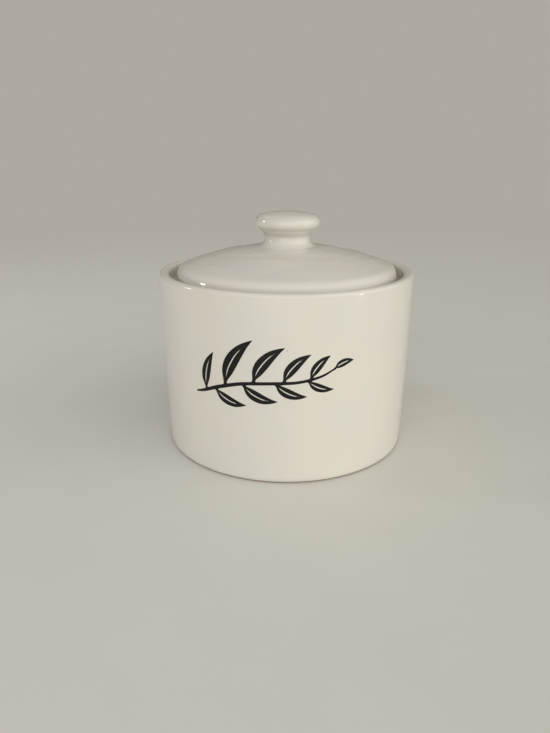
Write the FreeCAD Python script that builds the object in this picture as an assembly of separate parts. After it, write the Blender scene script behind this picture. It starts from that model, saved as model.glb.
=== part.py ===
"""Round stoneware tea canister with a loose, knobbed lid that drops into the mouth.

The jar and the lid are each one fired piece. Both are turned shapes about the Z axis.
The jar stands on z = 0. Lengths are in millimetres.
"""

import FreeCAD, Part
import math
import os

# Jar
RIM_RADIUS = 78.5            # outside of the jar at its widest
JAR_HEIGHT = 109.4           # ground to the crest of the rim
JAR_WALL = 5.9               # side wall and rim
UPRIGHT_BAND = 14.4          # top of the side that stands upright, crest included
RIM_OUTER_ROUND = 2.0        # from the side up to the crest
RIM_TOP_ROUND = 8.0          # from the crest down towards the lid
RIM_INNER_ROUND = 2.0
FOOT_TUCK = 1.5              # how far the side bows in below that, down to the ground
FLOOR_THICKNESS = 7.0
FOOT_ROUND = 1.6
LAND_WIDTH = 7.5             # flat ring that the jar stands on
LAND_RECESS = 1.5            # how far the middle of the underside is raised off the ground
FLOOR_ROUND = 8.0

# Ledge inside the mouth that the lid sits on
LEDGE_DEPTH = 7.9            # crest of the rim down to the ledge
LEDGE_THICKNESS = 6.0
LEDGE_ROOT_ROUND = 1.5
LEDGE_TIP_ROUND = 2.2
LEDGE_UNDER_ROUND = 6.0

# Fits between the lid and the jar
LID_GAP = 4.3                # lid edge to the mouth's wall, all round
FLANGE_CLEARANCE = 1.5       # locating flange to the ledge's opening

# Lid
LID_EDGE_HEIGHT = 4.3        # seat up to the widest line of the edge
LID_EDGE_ROUND = 7.8         # shoulder between the edge and the crown
LID_EDGE_UNDER_ROUND = 2.2
LID_RISE = 18.35             # widest line of the edge up to the top of the crown
LID_WALL = 5.5
SEAT_WIDTH = 6.8             # lid edge to the flange
FLANGE_DEPTH = 9.5
FLANGE_WALL = 5.0
FLANGE_TIP_ROUND = 2.0
FLANGE_ROOT_ROUND = 1.0
CROWN_UNDER_ROUND = 5.0

# Knob and its neck
KNOB_RADIUS = 19.85
KNOB_EDGE_ROUND = 4.5
KNOB_RISE = 6.1              # widest line of the knob up to its top
KNOB_UNDER_TURN = 45.0       # how far the edge round carries on under the knob, in degrees
NECK_RADIUS = 13.7
NECK_STRAIGHT = 0.2
NECK_ROUND = 3.0             # hollow under the knob
NECK_FLARE = 5.2             # hollow where the neck spreads onto the crown

# Sizes that follow from the ones above
FOOT_RADIUS = RIM_RADIUS - FOOT_TUCK
BOW_HEIGHT = JAR_HEIGHT - UPRIGHT_BAND
MOUTH_RADIUS = RIM_RADIUS - JAR_WALL
SEAT_HEIGHT = JAR_HEIGHT - LEDGE_DEPTH
LID_RADIUS = MOUTH_RADIUS - LID_GAP
FLANGE_RADIUS = LID_RADIUS - SEAT_WIDTH
FLANGE_INSIDE = FLANGE_RADIUS - FLANGE_WALL
OPENING_RADIUS = FLANGE_RADIUS + FLANGE_CLEARANCE

QUARTER = 90.0
FULL_TURN = 360.0
SECTION_PLANE = Part.Plane(FreeCAD.Vector(0, 0, 0), FreeCAD.Vector(0, 1, 0))


def at(radius, height):
    """The point at this distance from the axis and this height, in the XZ plane."""
    return FreeCAD.Vector(radius, 0.0, height)


class Outline:
    """Half of a turned piece's section, drawn edge by edge from a starting point."""

    def __init__(self, radius, height):
        self.pen = at(radius, height)
        self.edges = []
        self.roundings = {}

    def line(self, radius, height):
        """Draw straight to a point."""
        end = at(radius, height)
        self.edges.append(Part.LineSegment(self.pen, end).toShape())
        self.pen = end

    def arc(self, centre, turn):
        """Draw round a centre by an angle in degrees, positive from the radius towards up."""
        arm = self.pen - centre
        reach = math.hypot(arm.x, arm.z)
        start = math.atan2(arm.z, arm.x)
        middle = start + math.radians(turn) / 2.0
        stop = start + math.radians(turn)
        over = centre + at(reach * math.cos(middle), reach * math.sin(middle))
        end = centre + at(reach * math.cos(stop), reach * math.sin(stop))
        self.edges.append(Part.Arc(self.pen, over, end).toShape())
        self.pen = end

    def ease(self, rounding):
        """Round the corner at the pen, between the edge drawn last and the next one."""
        self.roundings[len(self.edges)] = (self.pen, rounding)

    def eased_edges(self):
        """The edges with every marked corner rounded by an arc that meets both of them."""
        edges = list(self.edges)
        for place in sorted(self.roundings, reverse=True):
            point, rounding = self.roundings[place]
            corner = Part.ChFi2d.FilletAlgo()
            corner.init(edges[place - 1], edges[place], SECTION_PLANE)
            if not corner.perform(rounding):
                raise ValueError(f"no room for a rounding of {rounding} mm")
            rounded, before, after = corner.result(point)
            edges[place - 1 : place + 1] = [before, rounded, after]
        return edges

    def turned(self):
        """Close the section along the axis and turn it into a solid."""
        first = self.edges[0].firstVertex().Point
        self.line(first.x, first.z)
        section = Part.Face(Part.Wire(Part.__sortEdges__(self.eased_edges())))
        return section.revolve(FreeCAD.Vector(0, 0, 0), FreeCAD.Vector(0, 0, 1), FULL_TURN)


def crown_radius(reach, edge_round, rise):
    """Radius of the crown that meets an edge round smoothly.

    The edge round is widest at this reach, and the crown tops out at rise above that line.
    """
    run = reach - edge_round
    return (run**2 + rise**2 - edge_round**2) / (2.0 * (rise - edge_round))


def crown_turn(reach, edge_round, rise):
    """Angle from the axis to where the crown gives way to the edge round, in degrees."""
    radius = crown_radius(reach, edge_round, rise)
    return math.degrees(math.atan2(reach - edge_round, radius - rise))


def side_bow():
    """Radius of the arc of the jar's side, which ends upright at its top."""
    return (BOW_HEIGHT**2 + FOOT_TUCK**2) / (2.0 * FOOT_TUCK)


def side_turn(bow, height):
    """Angle along the side's arc from this height up to where it stands upright."""
    return math.degrees(math.asin((BOW_HEIGHT - height) / bow))


def inside_radius(height):
    """Inside radius of the jar's wall, which runs level with the outside."""
    bow = side_bow() - JAR_WALL
    drop = BOW_HEIGHT - height
    return RIM_RADIUS - side_bow() + math.sqrt(bow**2 - drop**2)


def build_jar():
    """The open jar: a recessed foot, a bowed side, a rim that falls inwards and the lid's ledge."""
    bow = side_bow()
    bow_centre = at(RIM_RADIUS - bow, BOW_HEIGHT)
    crest = RIM_RADIUS - RIM_OUTER_ROUND
    fall = math.degrees(math.asin((crest - MOUTH_RADIUS) / RIM_TOP_ROUND))
    land_inside = FOOT_RADIUS - LAND_WIDTH
    under_ledge = SEAT_HEIGHT - LEDGE_THICKNESS
    ledge_foot = under_ledge - (MOUTH_RADIUS - OPENING_RADIUS)
    wall_top = inside_radius(ledge_foot)
    inner_bow = bow - JAR_WALL
    inner_turn = side_turn(inner_bow, ledge_foot) - side_turn(inner_bow, FLOOR_THICKNESS)

    outline = Outline(0.0, LAND_RECESS)
    outline.line(land_inside - LAND_RECESS, LAND_RECESS)
    outline.line(land_inside, 0.0)
    outline.line(FOOT_RADIUS, 0.0)
    outline.ease(FOOT_ROUND)
    outline.arc(bow_centre, side_turn(bow, 0.0))
    outline.line(RIM_RADIUS, JAR_HEIGHT - RIM_OUTER_ROUND)
    outline.arc(at(crest, JAR_HEIGHT - RIM_OUTER_ROUND), QUARTER)
    outline.arc(at(crest, JAR_HEIGHT - RIM_TOP_ROUND), fall)
    outline.ease(RIM_INNER_ROUND)
    outline.line(MOUTH_RADIUS, SEAT_HEIGHT)
    outline.ease(LEDGE_ROOT_ROUND)
    outline.line(OPENING_RADIUS, SEAT_HEIGHT)
    outline.ease(LEDGE_TIP_ROUND)
    outline.line(OPENING_RADIUS, under_ledge)
    outline.ease(LEDGE_TIP_ROUND)
    outline.line(wall_top, ledge_foot)
    outline.ease(LEDGE_UNDER_ROUND)
    outline.arc(bow_centre, inner_turn)
    outline.ease(FLOOR_ROUND)
    outline.line(0.0, FLOOR_THICKNESS)
    return outline.turned()


def draw_knob(outline, widest):
    """Draw the knob from its top, round its edge and in to the neck. The pen is at the top."""
    crown = crown_radius(KNOB_RADIUS, KNOB_EDGE_ROUND, KNOB_RISE)
    over = crown_turn(KNOB_RADIUS, KNOB_EDGE_ROUND, KNOB_RISE)
    outline.arc(at(0.0, widest + KNOB_RISE - crown), -over)
    outline.arc(at(KNOB_RADIUS - KNOB_EDGE_ROUND, widest), over - QUARTER - KNOB_UNDER_TURN)


def knob_drop():
    """Height from the narrow of the neck up to the widest line of the knob.

    The knob's underside is a straight slope between its edge round and the neck's hollow.
    """
    slope = math.radians(KNOB_UNDER_TURN)
    edge_end = KNOB_RADIUS - KNOB_EDGE_ROUND * (1.0 - math.cos(slope))
    hollow_end = NECK_RADIUS + NECK_ROUND * (1.0 - math.cos(slope))
    slope_fall = (edge_end - hollow_end) / math.tan(slope)
    return (KNOB_EDGE_ROUND + NECK_ROUND) * math.sin(slope) + slope_fall


def draw_seat(outline):
    """Draw the lid's edge down and in to the seat that rests on the ledge, up to the flange."""
    under = LID_EDGE_UNDER_ROUND
    outline.line(LID_RADIUS, SEAT_HEIGHT + under)
    outline.arc(at(LID_RADIUS - under, SEAT_HEIGHT + under), -QUARTER)
    outline.line(FLANGE_RADIUS, SEAT_HEIGHT)
    outline.ease(FLANGE_ROOT_ROUND)


def draw_flange(outline):
    """Draw down the flange's outside and round its tip to its inside."""
    tip = FLANGE_TIP_ROUND
    tip_height = SEAT_HEIGHT - FLANGE_DEPTH + tip
    outline.line(FLANGE_RADIUS, tip_height)
    outline.arc(at(FLANGE_RADIUS - tip, tip_height), -QUARTER)
    outline.line(FLANGE_INSIDE + tip, SEAT_HEIGHT - FLANGE_DEPTH)
    outline.arc(at(FLANGE_INSIDE + tip, tip_height), -QUARTER)


def build_lid():
    """The lid: knob, neck, crowned top, rounded edge, seat and locating flange, one piece."""
    crown = crown_radius(LID_RADIUS, LID_EDGE_ROUND, LID_RISE)
    edge = SEAT_HEIGHT + LID_EDGE_HEIGHT
    centre = edge + LID_RISE - crown
    flare_reach = NECK_RADIUS + NECK_FLARE
    flare_rise = math.sqrt((crown + NECK_FLARE) ** 2 - flare_reach**2)
    flare_turn = math.degrees(math.atan2(flare_reach, flare_rise))
    edge_turn = crown_turn(LID_RADIUS, LID_EDGE_ROUND, LID_RISE)
    narrow_foot = centre + flare_rise
    narrow_top = narrow_foot + NECK_STRAIGHT
    widest = narrow_top + knob_drop()
    slope = math.radians(KNOB_UNDER_TURN)

    outline = Outline(0.0, widest + KNOB_RISE)
    draw_knob(outline, widest)
    hollow = at(NECK_RADIUS + NECK_ROUND, narrow_top)
    outline.line(hollow.x - NECK_ROUND * math.cos(slope), hollow.z + NECK_ROUND * math.sin(slope))
    outline.arc(hollow, KNOB_UNDER_TURN)
    outline.line(NECK_RADIUS, narrow_foot)
    outline.arc(at(flare_reach, narrow_foot), QUARTER - flare_turn)
    outline.arc(at(0.0, centre), flare_turn - edge_turn)
    outline.arc(at(LID_RADIUS - LID_EDGE_ROUND, edge), edge_turn - QUARTER)

    draw_seat(outline)
    draw_flange(outline)

    ceiling = crown - LID_WALL
    outline.line(FLANGE_INSIDE, centre + math.sqrt(ceiling**2 - FLANGE_INSIDE**2))
    outline.ease(CROWN_UNDER_ROUND)
    outline.arc(at(0.0, centre), math.degrees(math.asin(FLANGE_INSIDE / ceiling)))
    return outline.turned()


def main():
    os.makedirs("parts", exist_ok=True)
    pieces = {"jar": build_jar(), "lid": build_lid()}
    for name, solid in pieces.items():
        solid.exportStep(f"parts/{name}.step")
        print(name, "valid", solid.isValid(), "volume", round(solid.Volume / 1000.0, 1), "cm3")


main()
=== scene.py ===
"""Looks of a round, white glazed tea canister with a loose knobbed lid and a black leaf sprig.

The jar and the lid are turned shapes about the Z axis, in metres, in the same frame as the
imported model. The jar stands on z = 0 with its decorated front towards -Y.
"""

import functools
import logging
import math
from collections.abc import Callable, Sequence
from dataclasses import dataclass
from enum import Enum

import bmesh
import bpy
import numpy as np
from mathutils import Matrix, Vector, noise


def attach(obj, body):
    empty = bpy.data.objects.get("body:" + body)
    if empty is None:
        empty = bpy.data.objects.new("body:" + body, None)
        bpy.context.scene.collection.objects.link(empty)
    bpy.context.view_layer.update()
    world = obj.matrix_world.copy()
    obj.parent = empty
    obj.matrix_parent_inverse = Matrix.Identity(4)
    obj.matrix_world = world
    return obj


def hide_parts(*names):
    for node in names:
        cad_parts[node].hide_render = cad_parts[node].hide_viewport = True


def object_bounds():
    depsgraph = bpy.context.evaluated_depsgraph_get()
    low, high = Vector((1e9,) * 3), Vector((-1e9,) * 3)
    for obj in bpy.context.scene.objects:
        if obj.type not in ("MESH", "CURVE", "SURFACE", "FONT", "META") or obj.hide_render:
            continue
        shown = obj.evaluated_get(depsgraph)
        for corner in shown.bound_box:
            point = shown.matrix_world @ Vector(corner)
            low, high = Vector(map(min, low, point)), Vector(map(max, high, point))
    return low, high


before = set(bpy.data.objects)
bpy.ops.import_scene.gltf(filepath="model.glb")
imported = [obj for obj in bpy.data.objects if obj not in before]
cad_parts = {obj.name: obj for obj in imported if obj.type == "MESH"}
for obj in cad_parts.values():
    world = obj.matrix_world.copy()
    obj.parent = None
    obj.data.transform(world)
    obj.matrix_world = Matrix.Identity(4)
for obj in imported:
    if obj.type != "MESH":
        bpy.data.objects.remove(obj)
CAD_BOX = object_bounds()

LOG = logging.getLogger("tea_canister")
MM = 0.001
QUARTER = 90.0
AROUND = 320

Colour = tuple[float, float, float]
Spot = tuple[float, float, float]
Triple = tuple[float, float, float]
Span = tuple[float, float]
Field = Callable[[np.ndarray, np.ndarray, np.ndarray], np.ndarray]


class Slot(Enum):
    """Names of the material slots."""

    WHITE_GLAZE = "white_glaze"
    BLACK_DECORATION = "black_decoration"
    BARE_CLAY = "bare_clay"


class Blend(Enum):
    """How one colour is laid on another."""

    MIX = "MIX"
    ADD = "ADD"


# ---------------------------------------------------------------- shader workbench


class Wire:
    """A socket whose arithmetic adds Math nodes, so that masks read as plain expressions."""

    def __init__(self, bench: "Bench", socket: bpy.types.NodeSocket) -> None:
        """Keep the socket and the bench that it lies on."""
        self.bench = bench
        self.socket = socket

    def _with(self, operation: str, *others: "Wire | float") -> "Wire":
        """Put this wire and the others through one Math node."""
        return self.bench.math(operation, self, *others)

    def __add__(self, other: "Wire | float") -> "Wire":
        """Sum."""
        return self._with("ADD", other)

    __radd__ = __add__

    def __sub__(self, other: "Wire | float") -> "Wire":
        """Difference."""
        return self._with("SUBTRACT", other)

    def __rsub__(self, other: "Wire | float") -> "Wire":
        """Difference from a number."""
        return self.bench.math("SUBTRACT", other, self)

    def __mul__(self, other: "Wire | float") -> "Wire":
        """Product."""
        return self._with("MULTIPLY", other)

    __rmul__ = __mul__

    def __pow__(self, power: float) -> "Wire":
        """Power."""
        return self._with("POWER", power)

    def root(self) -> "Wire":
        """Square root."""
        return self._with("SQRT")

    def most(self, other: "Wire | float") -> "Wire":
        """The larger of the two."""
        return self._with("MAXIMUM", other)

    def rise(self, low: float, high: float) -> "Wire":
        """Go smoothly from 0 at one value to 1 at another.

        Args:
            low: The value that gives 0. It may be the larger one.
            high: The value that gives 1.

        Returns:
            A number from 0 to 1.
        """
        made = self.bench.node(
            "ShaderNodeMapRange",
            {"interpolation_type": "SMOOTHSTEP"},
            {"Value": self, "From Min": low, "From Max": high},
        )
        return self.bench.wire(made, "Result")


class Bench:
    """A material's or world's node tree, and the one way that nodes are put into it.

    The Mix node's colour sockets are taken by number, because its number and vector sockets
    share their names.
    """

    COLOUR_ONE, COLOUR_OTHER, COLOUR_MIXED = 6, 7, 2

    def __init__(self, tree: bpy.types.NodeTree) -> None:
        """Empty the tree."""
        self.tree = tree
        tree.nodes.clear()

    def node(
        self,
        kind: str,
        settings: dict[str, object] | None = None,
        sockets: dict[str | int, object] | None = None,
    ) -> bpy.types.Node:
        """Add a node.

        Args:
            kind: The node's type.
            settings: Properties, set first.
            sockets: Values, or wires to link, by socket name or number.

        Returns:
            The new node.
        """
        made = self.tree.nodes.new(kind)
        for name, value in (settings or {}).items():
            setattr(made, name, value)
        for key, value in (sockets or {}).items():
            self._plug(made.inputs[key], value)
        return made

    def _plug(self, socket: bpy.types.NodeSocket, value: object) -> None:
        """Link a wire to a socket, or set the socket's own value.

        Args:
            socket: The socket.
            value: A wire, or the number, vector or colour to set.
        """
        if isinstance(value, Wire):
            self.tree.links.new(value.socket, socket)
        elif isinstance(value, tuple) and socket.type == "RGBA":
            socket.default_value = (*value, 1.0)[:4]
        else:
            socket.default_value = value

    def wire(self, made: bpy.types.Node, output: str | int = 0) -> Wire:
        """Take an output of a node."""
        return Wire(self, made.outputs[output])

    def math(self, operation: str, *values: Wire | float) -> Wire:
        """Add a Math node."""
        made = self.node("ShaderNodeMath", {"operation": operation}, dict(enumerate(values)))
        return self.wire(made)

    def place(self) -> Wire:
        """The point on the piece, in metres in the row frame at rest."""
        return self.wire(self.node("ShaderNodeTexCoord"), "Object")

    def parts(self, vector: Wire) -> tuple[Wire, Wire, Wire]:
        """Split a vector into its three numbers."""
        made = self.node("ShaderNodeSeparateXYZ", None, {"Vector": vector})
        return self.wire(made, "X"), self.wire(made, "Y"), self.wire(made, "Z")

    def scaled(self, vector: Wire, scale: Triple) -> Wire:
        """Stretch a vector, part by part."""
        made = self.node("ShaderNodeVectorMath", {"operation": "MULTIPLY"}, {0: vector, 1: scale})
        return self.wire(made)

    def near(self, vector: Wire, spot: Spot) -> Wire:
        """Distance from a fixed spot."""
        made = self.node("ShaderNodeVectorMath", {"operation": "DISTANCE"}, {0: vector, 1: spot})
        return self.wire(made, "Value")

    def noise(self, vector: Wire, size: float, detail: float = 2.0, rough: float = 0.5) -> Wire:
        """Read soft noise.

        Args:
            vector: Where it is read.
            size: Rough width of its patches, in metres.
            detail: How many finer layers it has.
            rough: How strong the finer layers are.

        Returns:
            A number from 0 to 1.
        """
        made = self.node(
            "ShaderNodeTexNoise",
            {"noise_dimensions": "3D"},
            {"Vector": vector, "Scale": 1.0 / size, "Detail": detail, "Roughness": rough},
        )
        return self.wire(made)

    def mix(
        self,
        share: Wire | float,
        one: Wire | Colour,
        other: Wire | Colour,
        blend: Blend = Blend.MIX,
    ) -> Wire:
        """Lay one colour on another.

        Args:
            share: How much of the other colour there is, from 0 to 1.
            one: The colour underneath.
            other: The colour laid on it.
            blend: How it is laid on.

        Returns:
            The colour that comes of it.
        """
        made = self.node(
            "ShaderNodeMix",
            {"data_type": "RGBA", "blend_type": blend.value},
            {"Factor": share, self.COLOUR_ONE: one, self.COLOUR_OTHER: other},
        )
        return self.wire(made, self.COLOUR_MIXED)

    def bump(self, height: Wire, depth: float) -> Wire:
        """Turn a height from 0 to 1 into a normal, with this depth in metres."""
        sockets = {"Height": height, "Distance": depth, "Strength": 1.0}
        return self.wire(self.node("ShaderNodeBump", None, sockets), "Normal")


def new_material(name: str) -> tuple[bpy.types.Material, Bench]:
    """Make an empty node material.

    Args:
        name: The material's name.

    Returns:
        The material and the bench for its nodes.
    """
    made = bpy.data.materials.new(name)
    made.use_nodes = True
    return made, Bench(made.node_tree)


def finish_surface(bench: Bench, sockets: dict[str, object]) -> None:
    """Close a material with one Principled shader that has these sockets."""
    shader = bench.node("ShaderNodeBsdfPrincipled", None, sockets)
    bench.node("ShaderNodeOutputMaterial", None, {"Surface": bench.wire(shader, "BSDF")})


# ---------------------------------------------------------------- finishes


@dataclass(frozen=True)
class GlazeRing:
    """A ring of a turned piece where the glaze runs thin, or where shade is painted darker.

    Attributes:
        reach: The ring's radius.
        height: The ring's height.
        spread: How far from the ring it still counts.
        share: How strong it is on the ring itself, from 0 to 1.
    """

    reach: float
    height: float
    spread: float
    share: float

    def mask(self, bench: Bench, reach: Wire, height: Wire) -> Wire:
        """How much the ring counts at a point, from 0 to its share."""
        away = ((reach - self.reach) ** 2.0 + (height - self.height) ** 2.0).root()
        return away.rise(self.spread, 0.0) * self.share


@dataclass(frozen=True)
class Pinhole:
    """A dark pore in the glaze.

    Attributes:
        FLOOR_SHARE: How much of the radius is the pore's flat floor.
        spot: Its place.
        radius: Its radius.
        depth: How dark it is, from 0 to 1.
    """

    FLOOR_SHARE = 0.35

    spot: Spot
    radius: float
    depth: float

    def mask(self, bench: Bench, place: Wire) -> Wire:
        """How much the pore counts at a point, from 0 to its depth."""
        away = bench.near(place, self.spot)
        return away.rise(self.radius, self.radius * self.FLOOR_SHARE) * self.depth


@dataclass(frozen=True)
class WhiteGlaze:
    """Glossy warm white glaze, thin over edges and fuller in hollows.

    Attributes:
        name: The material's name.
        thin: Where the glaze runs thin and the paler clay shows through.
        full: Rings where shade is painted darker, in hollows, creases and round the knob.
        pinholes: Its pores.
        body, warm, cool: The colours that drift into one another over the piece.
        edge, painted_shade, pore: The colours where it is thin, of the painted shade, and in a
            pore.
        patch, patch_between: Width of the patches of warm and cool colour, and the levels of
            their noise between which one goes over into the other.
        drift, drift_stretch, drift_between, drift_share: Width of the drift over the patches,
            how it is drawn out, where it sets in and how much it covers.
        smear, smear_stretch, smear_between: The same of the smears in the gloss.
        peel, swell: Widths of the fine orange peel and of the broad waves of the surface.
        roughness, smear_rough, pore_rough: The gloss, and what smears and pores add to it.
        peel_share, pore_dent: How deep the peel and the pores are beside the waves.
        relief: Depth of the waves.
        ior: Refractive index of the glaze.
    """

    name: str
    thin: tuple[GlazeRing, ...]
    full: tuple[GlazeRing, ...]
    pinholes: tuple[Pinhole, ...]
    body: Colour = (0.735, 0.698, 0.620)
    warm: Colour = (0.748, 0.702, 0.615)
    cool: Colour = (0.722, 0.696, 0.630)
    edge: Colour = (0.800, 0.765, 0.680)
    # Painted shade: the darker colour laid along the full rings.
    painted_shade: Colour = (0.560, 0.542, 0.485)
    pore: Colour = (0.110, 0.085, 0.060)
    patch: float = 0.030
    patch_between: Span = (0.40, 0.62)
    drift: float = 0.012
    drift_stretch: Triple = (1.0, 1.0, 0.35)
    drift_between: Span = (0.35, 0.65)
    drift_share: float = 0.5
    smear: float = 0.024
    smear_stretch: Triple = (1.0, 1.0, 2.2)
    smear_between: Span = (0.30, 0.75)
    peel: float = 0.0042
    swell: float = 0.0180
    roughness: float = 0.075
    smear_rough: float = 0.05
    pore_rough: float = 0.3
    peel_share: float = 0.12
    pore_dent: float = 0.5
    relief: float = 0.00022
    ior: float = 1.55

    @staticmethod
    def _strongest(masks: Sequence[Wire]) -> Wire:
        """The largest of several masks at each point."""
        return functools.reduce(Wire.most, masks)

    def _colour(self, bench: Bench, place: Wire, pores: Wire) -> Wire:
        """Work out the glaze's colour.

        Args:
            bench: The material's bench.
            place: The point on the piece.
            pores: How much a pore counts there.

        Returns:
            The colour at each point.
        """
        across, along, height = bench.parts(place)
        reach = (across**2.0 + along**2.0).root()
        patches = bench.noise(place, self.patch, rough=0.45)
        drift = bench.noise(bench.scaled(place, self.drift_stretch), self.drift, detail=1.0)
        colour = bench.mix(patches.rise(*self.patch_between), self.cool, self.warm)
        colour = bench.mix(drift.rise(*self.drift_between) * self.drift_share, colour, self.body)
        # The full rings lay painted shade; the thin rings lay the paler glaze of the edges.
        for rings, tone in ((self.full, self.painted_shade), (self.thin, self.edge)):
            mask = self._strongest([ring.mask(bench, reach, height) for ring in rings])
            colour = bench.mix(mask, colour, tone)
        return bench.mix(pores, colour, self.pore)

    def material(self) -> bpy.types.Material:
        """Build the glaze.

        Returns:
            The material.
        """
        made, bench = new_material(self.name)
        place = bench.place()
        pores = self._strongest([hole.mask(bench, place) for hole in self.pinholes])
        stretched = bench.scaled(place, self.smear_stretch)
        smears = bench.noise(stretched, self.smear, detail=3.0, rough=0.6)
        gloss = smears.rise(*self.smear_between) * self.smear_rough + self.roughness
        peel = bench.noise(place, self.peel, detail=1.0)
        swell = bench.noise(place, self.swell, detail=1.0, rough=0.4)
        relief = peel * self.peel_share + swell - pores * self.pore_dent
        finish_surface(
            bench,
            {
                "Base Color": self._colour(bench, place, pores),
                "Roughness": gloss + pores * self.pore_rough,
                "IOR": self.ior,
                "Normal": bench.bump(relief, self.relief),
            },
        )
        return made


@dataclass(frozen=True)
class BareClay:
    """Unglazed fired clay of the ring that the jar stands on.

    Attributes:
        name: The material's name.
        pale, dark_clay_and_painted_shade: The clay's colours; the dark one is also the painted
            shade and dirt of the line at the foot.
        grain, cloud: Widths of the grain and of the toasted clouds.
        grain_between, cloud_between: Levels of their noise between which they set in.
        tone_share: How dark each of them makes the clay.
        dirt_and_painted_shade, dirt_and_painted_shade_between: How strong the dark band by the
        glaze is, painted shade of the gap under the foot and dirt there, and the heights between
        which it comes in.
        roughness, grain_rough: The gloss, and what the grain adds to it.
        relief: Depth of the grain.
    """

    name: str = "bare_fired_clay"
    pale: Colour = (0.52, 0.44, 0.33)
    dark_clay_and_painted_shade: Colour = (0.19, 0.155, 0.115)
    grain: float = 0.0011
    grain_between: Span = (0.35, 0.70)
    cloud: float = 0.016
    cloud_between: Span = (0.35, 0.65)
    tone_share: float = 0.35
    # Painted shade and dirt: the dark band of the gap where the foot meets the floor.
    dirt_and_painted_shade: float = 0.9
    dirt_and_painted_shade_between: Span = (0.0001, 0.0009)
    roughness: float = 0.75
    grain_rough: float = 0.2
    relief: float = 0.00018

    def material(self) -> bpy.types.Material:
        """Build the clay: fine grain, cloudy toasting and a dark band by the glaze, painted shade
        and dirt.

        Returns:
            The material.
        """
        made, bench = new_material(self.name)
        place = bench.place()
        _, _, height = bench.parts(place)
        grain = bench.noise(place, self.grain, detail=3.0, rough=0.65)
        cloud = bench.noise(place, self.cloud)
        toasted = cloud.rise(*self.cloud_between) * self.tone_share
        tone = grain.rise(*self.grain_between) * self.tone_share + toasted
        # Painted shade and dirt: darker from just above the floor up to the glaze line.
        dirt_and_painted_shade = height.rise(*self.dirt_and_painted_shade_between) * self.dirt_and_painted_shade
        finish_surface(
            bench,
            {
                "Base Color": bench.mix(tone.most(dirt_and_painted_shade), self.pale, self.dark_clay_and_painted_shade),
                "Roughness": grain * self.grain_rough + self.roughness,
                "Normal": bench.bump(grain, self.relief),
            },
        )
        return made


@dataclass(frozen=True)
class BlackEnamel:
    """Black enamel laid on the glaze with a brush and fired, with a soft sheen.

    Attributes:
        name: The material's name.
        full, thin: The colours where the coat is full and where it is thin.
        streak, cloud: Widths of the brush's streaks and of the thinner clouds.
        streak_stretch: How the streaks are drawn out.
        streak_between, cloud_between: Levels of their noise between which they set in.
        thin_share: How much each of them thins the coat.
        roughness, streak_rough: The gloss, and what the streaks add to it.
        gleam: Strength of the shine.
        relief: Depth of the streaks.
    """

    name: str = "black_brushed_enamel"
    full: Colour = (0.0085, 0.0080, 0.0072)
    thin: Colour = (0.0210, 0.0185, 0.0150)
    streak: float = 0.0030
    streak_stretch: Triple = (1.0, 1.0, 3.0)
    streak_between: Span = (0.45, 0.75)
    cloud: float = 0.009
    cloud_between: Span = (0.5, 0.8)
    thin_share: float = 0.4
    roughness: float = 0.24
    streak_rough: float = 0.16
    gleam: float = 0.20
    relief: float = 0.00004

    def material(self) -> bpy.types.Material:
        """Build the enamel: streaks along the brush, a little thinner here and there.

        Returns:
            The material.
        """
        made, bench = new_material(self.name)
        place = bench.place()
        streaks = bench.noise(bench.scaled(place, self.streak_stretch), self.streak, rough=0.6)
        cloud = bench.noise(place, self.cloud)
        clouded = cloud.rise(*self.cloud_between) * self.thin_share
        thin = streaks.rise(*self.streak_between) * self.thin_share + clouded
        finish_surface(
            bench,
            {
                "Base Color": bench.mix(thin, self.full, self.thin),
                "Roughness": streaks * self.streak_rough + self.roughness,
                "Specular IOR Level": self.gleam,
                "Normal": bench.bump(streaks, self.relief),
            },
        )
        return made


@dataclass(frozen=True)
class PaleFloor:
    """Plain pale worktop that fades into an even backdrop a little way off.

    Attributes:
        name: The material's name.
        near, far: The worktop's colour and the backdrop's.
        fade: Distances from the canister between which it fades.
        mottle, mottle_between: Width of the worktop's faint patches, and the levels of their
            noise between which they set in.
        mottle_share: How strong they are.
        roughness: The worktop's gloss.
    """

    name: str = "pale_floor"
    near: Colour = (0.740, 0.725, 0.665)
    far: Colour = (0.420, 0.400, 0.352)
    fade: Span = (0.30, 1.30)
    mottle: float = 0.045
    mottle_between: Span = (0.3, 0.7)
    mottle_share: float = 0.04
    roughness: float = 0.5

    def material(self) -> bpy.types.Material:
        """Build the floor.

        Returns:
            The material.
        """
        made, bench = new_material(self.name)
        place = bench.place()
        across, along, _ = bench.parts(place)
        away = (across**2.0 + along**2.0).root()
        seen = bench.wire(bench.node("ShaderNodeLightPath"), "Is Camera Ray")
        mottle = bench.noise(place, self.mottle, detail=3.0, rough=0.55)
        spots = mottle.rise(*self.mottle_between) * self.mottle_share
        tint = bench.mix(spots, self.near, self.far)
        surface = {"Base Color": tint, "Roughness": self.roughness}
        top = bench.node("ShaderNodeBsdfPrincipled", None, surface)
        drop = bench.node("ShaderNodeEmission", None, {"Color": self.far, "Strength": 1.0})
        both = bench.node(
            "ShaderNodeMixShader",
            None,
            {
                0: away.rise(*self.fade) * seen,
                1: bench.wire(top, "BSDF"),
                2: bench.wire(drop, "Emission"),
            },
        )
        bench.node("ShaderNodeOutputMaterial", None, {"Surface": bench.wire(both, "Shader")})
        return made


# ---------------------------------------------------------------- turned forms


def smooth(value: np.ndarray, low: float, high: float) -> np.ndarray:
    """Go smoothly from 0 at low to 1 at high. Low may be the larger one."""
    share = np.clip((value - low) / (high - low), 0.0, 1.0)
    return share * share * (3.0 - 2.0 * share)


def around_axis(reach: np.ndarray, height: np.ndarray, angle: np.ndarray) -> np.ndarray:
    """Points at these distances from the axis and heights, and angles from the front."""
    return np.stack((reach * np.sin(angle), -reach * np.cos(angle), height), axis=1)


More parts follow.
